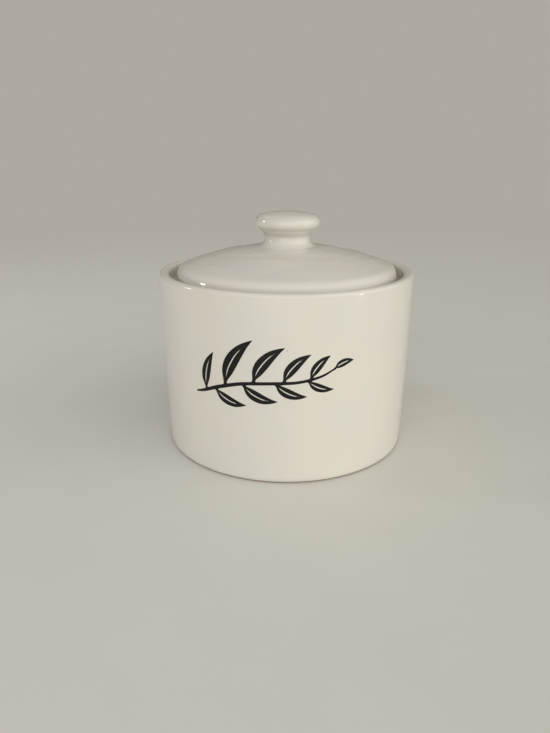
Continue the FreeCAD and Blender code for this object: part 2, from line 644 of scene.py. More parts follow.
def turned(rings: np.ndarray) -> tuple[np.ndarray, np.ndarray, np.ndarray]:
    """Reach, height and angle of every place on these rings, ring after ring."""
    angles = np.linspace(0.0, math.tau, AROUND, endpoint=False)
    return *np.repeat(rings, AROUND, axis=0).T, np.tile(angles, len(rings))


def band(low: int, high: int) -> list[tuple[int, ...]]:
    """Quads between two rings of corners, given the number of each ring's first corner."""
    pairs = [(k, (k + 1) % AROUND) for k in range(AROUND)]
    return [(low + k, high + k, high + after, low + after) for k, after in pairs]


@dataclass(frozen=True)
class Wave:
    """Soft hills and hollows of a hand-finished surface.

    Attributes:
        push: How far they rise and sink.
        size: Rough width of a hill.
        seed: Which of many such patterns it is.
    """

    push: float
    size: float
    seed: float

    def at(self, points: np.ndarray) -> np.ndarray:
        """How far the surface is pushed out at each point."""
        shift = Vector((self.seed, self.seed * 0.7, self.seed * 1.3))
        return self.push * np.array([noise.noise(Vector(p) / self.size + shift) for p in points])


def unit(vector: np.ndarray) -> np.ndarray:
    """The vector at length 1."""
    return vector / np.hypot(*vector)


class Section:
    """Half of a turned piece's section, drawn as runs of points in metres.

    Attributes:
        STEP: Usual spacing of the points.
        ARC_STEP: Largest angle between an arc's points.
        FINEST: Smallest spacing.
        BEND_STEP: Spacing on a rounded corner, as a share of its radius.
        LINE_MARKS, ARC_MARKS, BEND_MARKS: Points that a line, an arc and a corner are drawn
            with before they are spaced.
        TINY: Length below which two points are the same.
        TINIEST: Length by which a cut clears the next point.
    """

    STEP = 2.5 * MM
    ARC_STEP = math.radians(5.0)
    FINEST = 0.2 * MM
    BEND_STEP = 0.12
    LINE_MARKS, ARC_MARKS, BEND_MARKS = 65, 257, 49
    TINY = 1e-7
    TINIEST = 1e-9

    def __init__(self, reach: float, height: float) -> None:
        """Start the drawing.

        Args:
            reach: Distance of the start from the axis.
            height: Height of the start.
        """
        self.pen = np.array((reach, height))
        self.runs: list[np.ndarray] = []
        self.steps: list[float] = []
        self.eases: list[float] = []

    def _add(self, run: np.ndarray, step: float, ease: float) -> None:
        """Keep a run.

        Args:
            run: Its points.
            step: Their spacing in the finished section.
            ease: Rounding of the corner that the run starts from.
        """
        self.runs.append(run)
        self.steps.append(step)
        self.eases.append(ease)
        self.pen = run[-1]

    def line(self, reach: float, height: float, ease: float = 0.0, step: float = STEP) -> None:
        """Draw straight to a point.

        Args:
            reach: Distance of the end from the axis.
            height: Height of the end.
            ease: Rounding of the corner at the start.
            step: Spacing of the points.
        """
        self._add(np.linspace(self.pen, (reach, height), self.LINE_MARKS), step, ease)

    def arc(
        self, reach: float, height: float, turn: float, ease: float = 0.0, step: float = STEP
    ) -> None:
        """Draw round a centre.

        Args:
            reach: Distance of the centre from the axis.
            height: Height of the centre.
            turn: Angle in degrees, positive from the radius towards up.
            ease: Rounding of the corner at the start.
            step: Largest spacing of the points.
        """
        centre = np.array((reach, height))
        arm = self.pen - centre
        radius = float(np.hypot(*arm))
        start = math.atan2(arm[1], arm[0])
        angles = start + np.linspace(0.0, math.radians(turn), self.ARC_MARKS)
        run = centre + radius * np.stack((np.cos(angles), np.sin(angles)), axis=1)
        self._add(run, min(step, max(radius * self.ARC_STEP, self.FINEST)), ease)

    @staticmethod
    def _lengths(run: np.ndarray) -> np.ndarray:
        """Length along a run from its start to each of its points."""
        return np.concatenate(([0.0], np.cumsum(np.hypot(*np.diff(run, axis=0).T))))

    def _spaced(self, run: np.ndarray, step: float) -> np.ndarray:
        """Space a run's points evenly.

        Args:
            run: The run.
            step: Largest spacing.

        Returns:
            The run with its new points.
        """
        lengths = self._lengths(run)
        count = max(2, math.ceil(lengths[-1] / step) + 1)
        wanted = np.linspace(0.0, lengths[-1], count)
        return np.stack([np.interp(wanted, lengths, run[:, k]) for k in range(2)], axis=1)

    def _cut(self, run: np.ndarray, length: float) -> np.ndarray:
        """Take a length off the start of a run.

        Args:
            run: The run.
            length: What goes.

        Returns:
            The rest of the run.
        """
        lengths = self._lengths(run)
        first = np.array([np.interp(length, lengths, run[:, k]) for k in range(2)])
        return np.vstack((first, run[lengths > length + self.TINIEST]))

    def points(self) -> np.ndarray:
        """The whole section, corners rounded.

        Returns:
            Points from the start to the end, without repeats.
        """
        runs = list(self.runs)
        bends: dict[int, np.ndarray] = {}
        for k in range(1, len(runs)):
            if not self.eases[k]:
                continue
            corner = runs[k][0]
            back = unit(runs[k - 1][-2] - corner)
            ahead = unit(runs[k][1] - corner)
            half_turn = (math.pi - math.acos(float(np.clip(back @ ahead, -1.0, 1.0)))) / 2.0
            trim = self.eases[k] * math.tan(half_turn)
            runs[k - 1] = self._cut(runs[k - 1][::-1], trim)[::-1]
            runs[k] = self._cut(runs[k], trim)
            bends[k] = self._bend(runs[k - 1][-1], corner, runs[k][0], math.cos(half_turn))
        pieces = []
        for k, run in enumerate(runs):
            if k in bends:
                step = max(self.eases[k] * self.BEND_STEP, self.FINEST)
                pieces.append(self._spaced(bends[k], step))
            pieces.append(self._spaced(run, self.steps[k]))
        joined = np.vstack(pieces)
        apart = np.hypot(*np.diff(joined, axis=0).T) > self.TINY
        return joined[np.concatenate(([True], apart))]

    def _bend(
        self, start: np.ndarray, corner: np.ndarray, end: np.ndarray, weight: float
    ) -> np.ndarray:
        """Bend round a corner, leaving and arriving along its sides.

        Args:
            start: Where the bend starts.
            corner: The corner that it rounds.
            end: Where it ends.
            weight: How strongly the corner pulls. The cosine of half the turn gives an arc.

        Returns:
            Points from the start to the end.
        """
        t = np.linspace(0.0, 1.0, self.BEND_MARKS)[:, None]
        parts = ((1.0 - t) ** 2, 2.0 * weight * t * (1.0 - t), t**2)
        return (parts[0] * start + parts[1] * corner + parts[2] * end) / sum(parts)


@dataclass
class Turning:
    """A closed form turned from a section, pushed in and out a little as fired clay is.

    Attributes:
        name: The piece's name.
        section: The section's points, from axis to axis.
        uneven: How far the surface is pushed out, from reach, height and angle.
    """

    name: str
    section: np.ndarray
    uneven: Field

    def _normals(self) -> np.ndarray:
        """Find which way is out along the section.

        Returns:
            The section's outward directions, to the right of the way it is drawn.
        """
        way = np.gradient(self.section, axis=0)
        way /= np.hypot(*way.T)[:, None]
        return np.stack((way[:, 1], -way[:, 0]), axis=1)

    def build(self) -> bpy.types.Object:
        """Turn the section into a mesh with one vertex at each end, on the axis.

        Returns:
            The new piece, smooth shaded and linked to the scene.
        """
        rings, normals = self.section[1:-1], self._normals()[1:-1]
        reach, height, angle = turned(rings)
        push = self.uneven(reach, height, angle)[:, None] * np.repeat(normals, AROUND, axis=0)
        sides = around_axis(reach + push[:, 0], height + push[:, 1], angle)
        ends = [(0.0, 0.0, float(self.section[k, 1])) for k in (0, -1)]
        corners = [ends[0], *map(tuple, sides), ends[1]]
        return add_mesh(self.name, corners, self._faces(len(rings)))

    def _faces(self, rings: int) -> list[tuple[int, ...]]:
        """Quads between the rings and a fan of triangles at each end.

        Args:
            rings: How many rings there are.

        Returns:
            The faces, as vertex numbers.
        """
        top = 1 + (rings - 1) * AROUND
        last = top + AROUND
        faces: list[tuple[int, ...]] = []
        for k in range(AROUND):
            after = (k + 1) % AROUND
            faces.append((0, 1 + k, 1 + after))
            faces.append((last, top + after, top + k))
        for ring in range(rings - 1):
            faces += band(1 + ring * AROUND, 1 + (ring + 1) * AROUND)
        return faces


def add_mesh(
    name: str, corners: Sequence[Sequence[float]], faces: Sequence[tuple[int, ...]]
) -> bpy.types.Object:
    """Make a smooth mesh piece whose faces look outwards.

    Args:
        name: The piece's name.
        corners: Its vertices.
        faces: Its faces, as vertex numbers.

    Returns:
        The new piece, linked to the scene.
    """
    mesh = bpy.data.meshes.new(name)
    mesh.from_pydata(corners, [], faces)
    work = bmesh.new()
    work.from_mesh(mesh)
    bmesh.ops.recalc_face_normals(work, faces=work.faces)
    for face in work.faces:
        face.smooth = True
    work.to_mesh(mesh)
    work.free()
    made = bpy.data.objects.new(name, mesh)
    bpy.context.scene.collection.objects.link(made)
    return made


def dress(piece: bpy.types.Object, material: bpy.types.Material) -> None:
    """Give a piece its material, let it ride on the body, and report it.

    Args:
        piece: The piece.
        material: Its material.
    """
    piece.data.materials.clear()
    piece.data.materials.append(material)
    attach(piece, "root")
    LOG.info("%s: %d faces, %s", piece.name, len(piece.data.polygons), material.name)


# ---------------------------------------------------------------- the jar


@dataclass
class Jar:
    """The open jar: glazed inside and out, on a bare clay ring.

    Attributes:
        rim, height, wall: Outer radius at the rim, height of the rim, and thickness.
        outer_round, top_round, inner_round: The rim's three roundings, from outside to inside.
        bow_height, tuck: Height at which the side starts to bow in, and by how much it does.
        floor, land, recess: Top of the floor, width of the ring and depth of the middle in it.
        seat, opening, ledge: Top of the lid's ledge, radius of its opening and its thickness.
        root_round, lip_round, under_round: Roundings of the ledge's root, lip and underside.
        wall_round, floor_round: Roundings under the ledge and round the floor.
        foot_band: Width of the finely divided band at the foot.
        glaze_line, glaze_coat, glaze_roll: Height at which the glaze stops over the ring, and
            the thickness and rounding of its edge there.
        recess_round, glaze_turn: Roundings where the middle meets the ring, and where the
            glaze turns over it.
        ring_edge, ring_chamfer, ring_round: The ring's inner edge and the rounding of its foot.
        ring_top, ring_set, ring_blend: How the ring's hidden top lies inside the glazed shape.
        waves: The glaze's waves.
        wavy_from: Heights between which the waves set in above the foot.
        calm_reach, calm_height: Reaches and heights between which they die away at the seat.
        thin, full, pinholes: Where the glaze is thin, where shade is painted darker (the ledge's
            gap, the foot and the inner floor's corner), and its pores.
    """

    rim: float = 78.5 * MM
    height: float = 109.4 * MM
    wall: float = 5.9 * MM
    outer_round: float = 2.0 * MM
    top_round: float = 8.0 * MM
    inner_round: float = 2.0 * MM
    bow_height: float = 95.0 * MM
    tuck: float = 1.5 * MM
    floor: float = 7.0 * MM
    land: float = 7.5 * MM
    recess: float = 1.5 * MM
    seat: float = 101.5 * MM
    opening: float = 63.0 * MM
    ledge: float = 6.0 * MM
    root_round: float = 1.5 * MM
    lip_round: float = 2.2 * MM
    under_round: float = 2.2 * MM
    wall_round: float = 6.0 * MM
    floor_round: float = 8.0 * MM
    foot_band: float = 1.2 * MM
    glaze_line: float = 1.0 * MM
    glaze_coat: float = 0.35 * MM
    glaze_roll: float = 0.45 * MM
    recess_round: float = 0.5 * MM
    glaze_turn: float = 0.2 * MM
    ring_edge: float = 0.6 * MM
    ring_chamfer: float = 0.4 * MM
    ring_round: float = 0.3 * MM
    ring_top: float = 2.2 * MM
    ring_set: float = 1.0 * MM
    ring_blend: float = 1.1 * MM
    waves: tuple[Wave, ...] = (Wave(0.16 * MM, 46.0 * MM, 3.1), Wave(0.064 * MM, 17.0 * MM, 8.4))
    wavy_from: Span = (3.0 * MM, 16.0 * MM)
    calm_reach: Span = (72.4 * MM, 70.5 * MM)
    calm_height: Span = (88.0 * MM, 94.0 * MM)
    thin: tuple[GlazeRing, ...] = (
        GlazeRing(75.55 * MM, 109.0 * MM, 2.6 * MM, 0.55),
        GlazeRing(63.0 * MM, 101.3 * MM, 2.2 * MM, 0.45),
    )
    # Painted shade: darker rings in the ledge's gap under the lid, by the foot and round the inner
    # floor.
    full: tuple[GlazeRing, ...] = (
        GlazeRing(72.6 * MM, 101.5 * MM, 5.0 * MM, 1.0),
        GlazeRing(76.9 * MM, 1.6 * MM, 1.6 * MM, 0.35),
        GlazeRing(69.0 * MM, 9.0 * MM, 6.0 * MM, 0.45),
    )
    pinholes: tuple[Pinhole, ...] = (
        Pinhole((-1.0 * MM, -78.4 * MM, 79.8 * MM), 0.42 * MM, 0.85),
        Pinhole((-12.5 * MM, -76.9 * MM, 39.5 * MM), 0.36 * MM, 0.25),
        Pinhole((70.1 * MM, 34.2 * MM, 62.0 * MM), 0.55 * MM, 0.60),
        Pinhole((-41.0 * MM, 66.2 * MM, 31.0 * MM), 0.60 * MM, 0.55),
        Pinhole((18.0 * MM, 75.9 * MM, 88.0 * MM), 0.45 * MM, 0.50),
    )

    def bow(self) -> float:
        """Radius of the side's arc."""
        return (self.bow_height**2 + self.tuck**2) / (2.0 * self.tuck)

    def reach_at(self, height: np.ndarray | float, inset: float = 0.0) -> np.ndarray | float:
        """Reach of the side, or of a face that runs this far inside it, at a height."""
        drop = np.maximum(self.bow_height - height, 0.0)
        return self.rim - self.bow() + np.sqrt((self.bow() - inset) ** 2 - drop**2)

    def _turn(self, low: float, high: float, inset: float = 0.0) -> float:
        """Find the angle along the side's arc between two heights.

        Args:
            low: The lower height.
            high: The upper height.
            inset: How far inside the side the face runs.

        Returns:
            The angle in degrees.
        """
        bow = self.bow() - inset
        ends = [math.asin((self.bow_height - height) / bow) for height in (low, high)]
        return math.degrees(ends[0] - ends[1])

    def uneven(self, reach: np.ndarray, height: np.ndarray, angle: np.ndarray) -> np.ndarray:
        """Say how far the glaze stands proud of the true form.

        Args:
            reach: Distances from the axis.
            height: Heights.
            angle: Angles from the front.

        Returns:
            The push at each point.
        """
        points = around_axis(reach, height, angle)
        free = smooth(height, *self.wavy_from)
        calm = smooth(reach, *self.calm_reach) * smooth(height, *self.calm_height)
        return sum(wave.at(points) for wave in self.waves) * free * (1.0 - calm)

    def side(self, angle: np.ndarray, height: np.ndarray) -> np.ndarray:
        """Reach of the finished outside at each angle and height."""
        plain = self.reach_at(height)
        return plain + self.uneven(plain, height, angle)

    def section(self) -> np.ndarray:
        """Draw the glazed shape.

        Returns:
            Points from the middle of the underside round to the floor's middle.
        """
        axis = self.rim - self.bow()
        mouth = self.rim - self.wall
        crest = self.rim - self.outer_round
        fall = math.degrees(math.asin((crest - mouth) / self.top_round))
        under = self.seat - self.ledge
        ledge_foot = under - (mouth - self.opening)
        ring_inside = self.rim - self.tuck - self.land
        line = self.glaze_line
        foot = float(self.reach_at(line))
        rise = self._turn(line, self.bow_height)
        fall_inside = self._turn(self.floor, ledge_foot, self.wall)
        draw = Section(0.0, self.recess)
        draw.line(ring_inside - self.recess, self.recess, step=6.0 * MM)
        draw.line(ring_inside - self.ring_chamfer, self.ring_edge, ease=self.recess_round)
        draw.line(ring_inside + self.ring_edge, line, ease=self.glaze_turn)
        draw.line(foot - self.foot_band, line)
        draw.line(foot, line, step=0.5 * MM)
        draw.arc(axis, self.bow_height, rise, ease=self.glaze_roll)
        draw.line(self.rim, self.height - self.outer_round, step=1.6 * MM)
        draw.arc(crest, self.height - self.outer_round, QUARTER)
        draw.arc(crest, self.height - self.top_round, fall)
        draw.line(mouth, self.seat, ease=self.inner_round, step=1.2 * MM)
        draw.line(self.opening, self.seat, ease=self.root_round)
        draw.line(self.opening, under, ease=self.lip_round)
        inside = float(self.reach_at(ledge_foot, self.wall))
        draw.line(inside, ledge_foot, ease=self.under_round)
        draw.arc(axis, self.bow_height, -fall_inside, ease=self.wall_round, step=3.5 * MM)
        draw.line(0.0, self.floor, ease=self.floor_round, step=5.0 * MM)
        return draw.points()

    def ring_section(self) -> np.ndarray:
        """Draw the bare ring.

        Returns:
            A closed loop of points that starts inside the glazed shape.
        """
        inside = self.rim - self.tuck - self.land
        outside = float(self.reach_at(self.glaze_line)) - self.glaze_coat
        draw = Section(inside + self.ring_set, self.ring_top)
        draw.line(inside, self.ring_edge)
        draw.line(inside + self.ring_chamfer, 0.0, ease=self.ring_round)
        draw.line(outside, 0.0, ease=self.ring_round)
        draw.line(outside, self.ring_top, ease=self.ring_blend, step=0.6 * MM)
        draw.line(inside + self.ring_set, self.ring_top)
        return draw.points()[:-1]

    def _build_ring(self) -> bpy.types.Object:
        """Make the bare clay ring under the jar.

        Returns:
            The new piece.
        """
        loop = self.ring_section()
        faces: list[tuple[int, ...]] = []
        for ring in range(len(loop)):
            faces += band(ring * AROUND, (ring + 1) % len(loop) * AROUND)
        return add_mesh("foot_ring", around_axis(*turned(loop)).tolist(), faces)

    def build(self) -> None:
        """Make the glazed jar and its bare ring."""
        glaze = WhiteGlaze("jar_white_glaze", self.thin, self.full, self.pinholes)
        body = Turning("jar_glazed", self.section(), self.uneven).build()
        dress(body, glaze.material())
        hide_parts("jar")
        dress(self._build_ring(), BareClay().material())


# ---------------------------------------------------------------- the lid


@dataclass
class Lid:
    """The loose lid: a low crown with a flattened knob, sitting in the mouth of the jar.

    Attributes:
        edge, seat: Radius of the lid and height that it sits at.
        edge_height, edge_round, seat_round: Height of the edge's widest line over the seat, and
            the edge's roundings above and below it.
        crown_top, crown_round: Height and radius of the crown, as if there were no knob.
        shell: Thickness of the crown.
        flange, flange_wall, flange_depth: Radius, thickness and depth of the locating flange.
        ceiling_round, tip_round, root_round: Roundings of the flange's inner root, tip and
            outer root.
        knob, knob_top, knob_crown, knob_round, knob_line: Radius and top of the knob, radius
            of its flat crown, rounding of its edge and height of its widest line.
        neck, neck_round, neck_flare, neck_line, neck_run: Radius of the neck, its roundings up
            into the knob and down into the crown, and where and how long it runs straight.
        slid, knob_lean: How far the lid lies off the axis, and its knob beyond that.
        lean_from: Heights between which the knob's lean sets in.
        broad, ripples: Waves of the whole lid, and the finer ones of the crown.
        ripple_along, ripple_across: How the ripples are drawn out along rings.
        wavy_from, crown_below: Heights between which waves set in and ripples die away.
        thin, full, pinholes: Where the glaze is thin, where shade is painted darker (the neck's
            crease, the knob and the flange's root), and its pores.
    """

    edge: float = 68.3 * MM
    seat: float = 101.5 * MM
    edge_height: float = 4.3 * MM
    edge_round: float = 7.8 * MM
    seat_round: float = 2.2 * MM
    crown_top: float = 124.15 * MM
    crown_round: float = 186.5466 * MM
    shell: float = 5.5 * MM
    flange: float = 61.5 * MM
    flange_wall: float = 5.0 * MM
    flange_depth: float = 9.5 * MM
    ceiling_round: float = 5.0 * MM
    tip_round: float = 2.0 * MM
    root_round: float = 1.0 * MM
    knob: float = 19.85 * MM
    knob_top: float = 143.973 * MM
    knob_crown: float = 78.93 * MM
    knob_round: float = 4.5 * MM
    knob_line: float = 137.873 * MM
    neck: float = 13.7 * MM
    neck_round: float = 3.0 * MM
    neck_flare: float = 5.2 * MM
    neck_line: float = 128.416 * MM
    neck_run: float = 0.2 * MM
    slid: float = 0.45 * MM
    knob_lean: float = 0.26 * MM
    lean_from: Span = (122.0 * MM, 131.0 * MM)
    broad: Wave = Wave(0.16 * MM, 30.0 * MM, 1.7)
    ripples: tuple[Wave, ...] = (Wave(0.21 * MM, 15.0 * MM, 5.2), Wave(0.13 * MM, 6.5 * MM, 9.9))
    ripple_along: float = 0.65
    ripple_across: float = 1.8
    wavy_from: Span = (104.5 * MM, 108.5 * MM)
    crown_below: Span = (126.5 * MM, 123.5 * MM)
    thin: tuple[GlazeRing, ...] = (GlazeRing(66.5 * MM, 110.5 * MM, 3.4 * MM, 0.35),)
    # Painted shade: darker rings in the neck's crease, on the knob and at the flange's root.
    full: tuple[GlazeRing, ...] = (
        GlazeRing(14.6 * MM, 131.0 * MM, 4.2 * MM, 0.80),
        GlazeRing(17.5 * MM, 134.0 * MM, 3.4 * MM, 0.70),
        GlazeRing(19.5 * MM, 141.5 * MM, 4.0 * MM, 0.60),
        GlazeRing(61.5 * MM, 101.5 * MM, 2.4 * MM, 0.50),
    )
    pinholes: tuple[Pinhole, ...] = (
        Pinhole((-28.0 * MM, 31.5 * MM, 119.1 * MM), 0.50 * MM, 0.55),
        Pinhole((37.2 * MM, 18.0 * MM, 119.4 * MM), 0.45 * MM, 0.45),
    )

    def _draw_underside(self, draw: Section) -> None:
        """Draw the flange and the seat, out to the lid's widest line.

        Args:
            draw: The section, at the middle of the hollow underside.
        """
        inside = self.flange - self.flange_wall
        ceiling = self.crown_round - self.shell
        tip = self.seat - self.flange_depth
        spread = math.degrees(math.asin(inside / ceiling))
        draw.arc(0.0, self.crown_top - self.crown_round, -spread, step=4.0 * MM)
        draw.line(inside, tip, ease=self.ceiling_round)
        draw.line(self.flange, tip, ease=self.tip_round)
        draw.line(self.flange, self.seat, ease=self.tip_round)
        draw.line(self.edge, self.seat, ease=self.root_round)
        draw.line(self.edge, self.seat + self.edge_height, ease=self.seat_round, step=0.7 * MM)

    def section(self) -> np.ndarray:
        """Draw the lid's shape.

        Returns:
            Points from the middle of the underside round to the top of the knob.
        """
        centre = self.crown_top - self.crown_round
        inner_edge = self.edge - self.edge_round
        meet = math.degrees(math.asin(inner_edge / (self.crown_round - self.edge_round)))
        flare = self.neck + self.neck_flare
        flare_foot = math.degrees(math.asin(flare / (self.crown_round + self.neck_flare)))
        inner_knob = self.knob - self.knob_round
        knob_meet = math.degrees(math.asin(inner_knob / (self.knob_crown - self.knob_round)))
        neck_top = self.neck_line + self.neck_run
        lean = QUARTER / 2.0
        slope = self.knob_round * math.sqrt(0.5)
        draw = Section(0.0, centre + (self.crown_round - self.shell))
        self._draw_underside(draw)
        draw.arc(inner_edge, self.seat + self.edge_height, QUARTER - meet, step=0.5 * MM)
        draw.arc(0.0, centre, meet - flare_foot, step=0.9 * MM)
        draw.arc(flare, self.neck_line, -(QUARTER - flare_foot), step=0.4 * MM)
        draw.line(self.neck, neck_top, step=self.neck_run)
        draw.arc(self.neck + self.neck_round, neck_top, -lean)
        draw.line(inner_knob + slope, self.knob_line - slope, step=0.6 * MM)
        draw.arc(inner_knob, self.knob_line, lean + QUARTER - knob_meet, step=0.3 * MM)
        draw.arc(0.0, self.knob_top - self.knob_crown, knob_meet, step=0.9 * MM)
        return draw.points()

    def uneven(self, reach: np.ndarray, height: np.ndarray, angle: np.ndarray) -> np.ndarray:
        """Say how far the glaze stands proud of the true form.

        Args:
            reach: Distances from the axis.
            height: Heights.
            angle: Angles from the front.

        Returns:
            The push at each point.
        """
        points = around_axis(reach, height, angle)
        rings = np.column_stack((points[:, :2] * self.ripple_along, reach * self.ripple_across))
        ripple = sum(wave.at(rings) for wave in self.ripples) * smooth(height, *self.crown_below)
        return smooth(height, *self.wavy_from) * (self.broad.at(points) + ripple)

    def build(self) -> None:
        """Make the lid and slide it to where it lies in the jar's mouth."""
        glaze = WhiteGlaze("lid_white_glaze", self.thin, self.full, self.pinholes)
        lid = Turning("lid_with_knob", self.section(), self.uneven).build()
        self._slide(lid.data)
        dress(lid, glaze.material())
        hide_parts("lid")

    def _slide(self, mesh: bpy.types.Mesh) -> None:
        """Shift the lid off the jar's axis by its play, and its knob by a hair more.

        Args:
            mesh: The lid's mesh.
        """
        places = np.empty(len(mesh.vertices) * 3)
        mesh.vertices.foreach_get("co", places)
        places = places.reshape(-1, 3)
        places[:, 0] += self.slid + self.knob_lean * smooth(places[:, 2], *self.lean_from)
        mesh.vertices.foreach_set("co", places.ravel())
        mesh.update()


# ---------------------------------------------------------------- the leaf sprig


@dataclass(frozen=True)
class BrushStroke:
    """One stroke of the brush, in millimetres.

    Attributes:
        BETWEEN: Marks laid from each given one up to the next.
        HAIR: Smallest half width.
        NOTHING: What keeps a stroke that stands still from dividing by zero.
        marks: Places along the stroke, round the side and up, with its half width there.
    """

    BETWEEN = 14
    HAIR = 0.05
    NOTHING = 1e-12

    marks: tuple[tuple[float, float, float], ...]

    def trail(self) -> np.ndarray:
        """Run a smooth curve through the marks.

        Returns:
            The stroke as close marks.
        """
        given = np.array(self.marks)
        ends = np.vstack((2 * given[0] - given[1], given, 2 * given[-1] - given[-2]))
        t = np.linspace(0.0, 1.0, self.BETWEEN, endpoint=False)[:, None]
        runs = []
        for k in range(1, len(ends) - 2):
            a, b, c, d = ends[k - 1 : k + 3]
            even = 2 * b + (2 * a - 5 * b + 4 * c - d) * t**2
            odd = (c - a) * t + (3 * b - a - 3 * c + d) * t**3
            runs.append(0.5 * (even + odd))
        trail = np.vstack((*runs, given[-1]))
        trail[:, 2] = np.maximum(trail[:, 2], self.HAIR)
        return trail

    def distance(self, across: np.ndarray, up: np.ndarray) -> np.ndarray:
        """Measure how far each point is from the stroke's edge.

        Args:
            across: The points' places round the side.
            up: Their heights.

        Returns:
            The distances, negative inside the stroke.
        """
        nearest = np.full(across.shape, np.inf)
        trail = self.trail()
        for start, end in zip(trail[:-1], trail[1:]):
            run = end - start
            length = run[0] ** 2 + run[1] ** 2 + self.NOTHING
            share = ((across - start[0]) * run[0] + (up - start[1]) * run[1]) / length
            share = np.clip(share, 0.0, 1.0)
            away = np.hypot(across - start[0] - share * run[0], up - start[1] - share * run[1])
            nearest = np.minimum(nearest, away - start[2] - share * run[2])
        return nearest


@dataclass(frozen=True)
class Leaf:
    """A leaf laid down with one press of the brush, split by a fine unpainted vein.

    Attributes:
        PRESS: Half width of the leaf along its length, as a share of its widest.
        VEIN: Half width of the vein along the leaf, in millimetres.
        root: Where the leaf leaves the stem, round the side and up, in millimetres.
        heading: Its direction in degrees, from the right and upwards.
        length, half_width: Its size in millimetres.
        curl: How far it turns along its length, in degrees.
    """

    PRESS = (
        (0.0, 0.16), (0.12, 0.34), (0.30, 0.86), (0.48, 1.0), (0.68, 0.80), (0.86, 0.40),
        (1.0, 0.03),
    )
    VEIN = ((0.16, 0.10), (0.35, 0.30), (0.60, 0.26), (0.80, 0.06))

    root: tuple[float, float]
    heading: float
    length: float
    half_width: float
    curl: float

    def _along(self, share: float) -> tuple[float, float]:
        """Find a place on the leaf's middle line.

        Args:
            share: How far along it lies, from 0 at the root to 1 at the tip.

        Returns:
            The place, round the side and up.
        """
        bend = math.radians(self.heading + self.curl * (share - 0.5))
        return (
            self.root[0] + self.length * share * math.cos(bend),
            self.root[1] + self.length * share * math.sin(bend),
        )

    def blade(self) -> BrushStroke:
        """The painted leaf."""
        marks = ((*self._along(share), self.half_width * press) for share, press in self.PRESS)
        return BrushStroke(tuple(marks))

    def gap(self) -> BrushStroke:
        """The vein left bare down the middle."""
        return BrushStroke(tuple((*self._along(share), press) for share, press in self.VEIN))


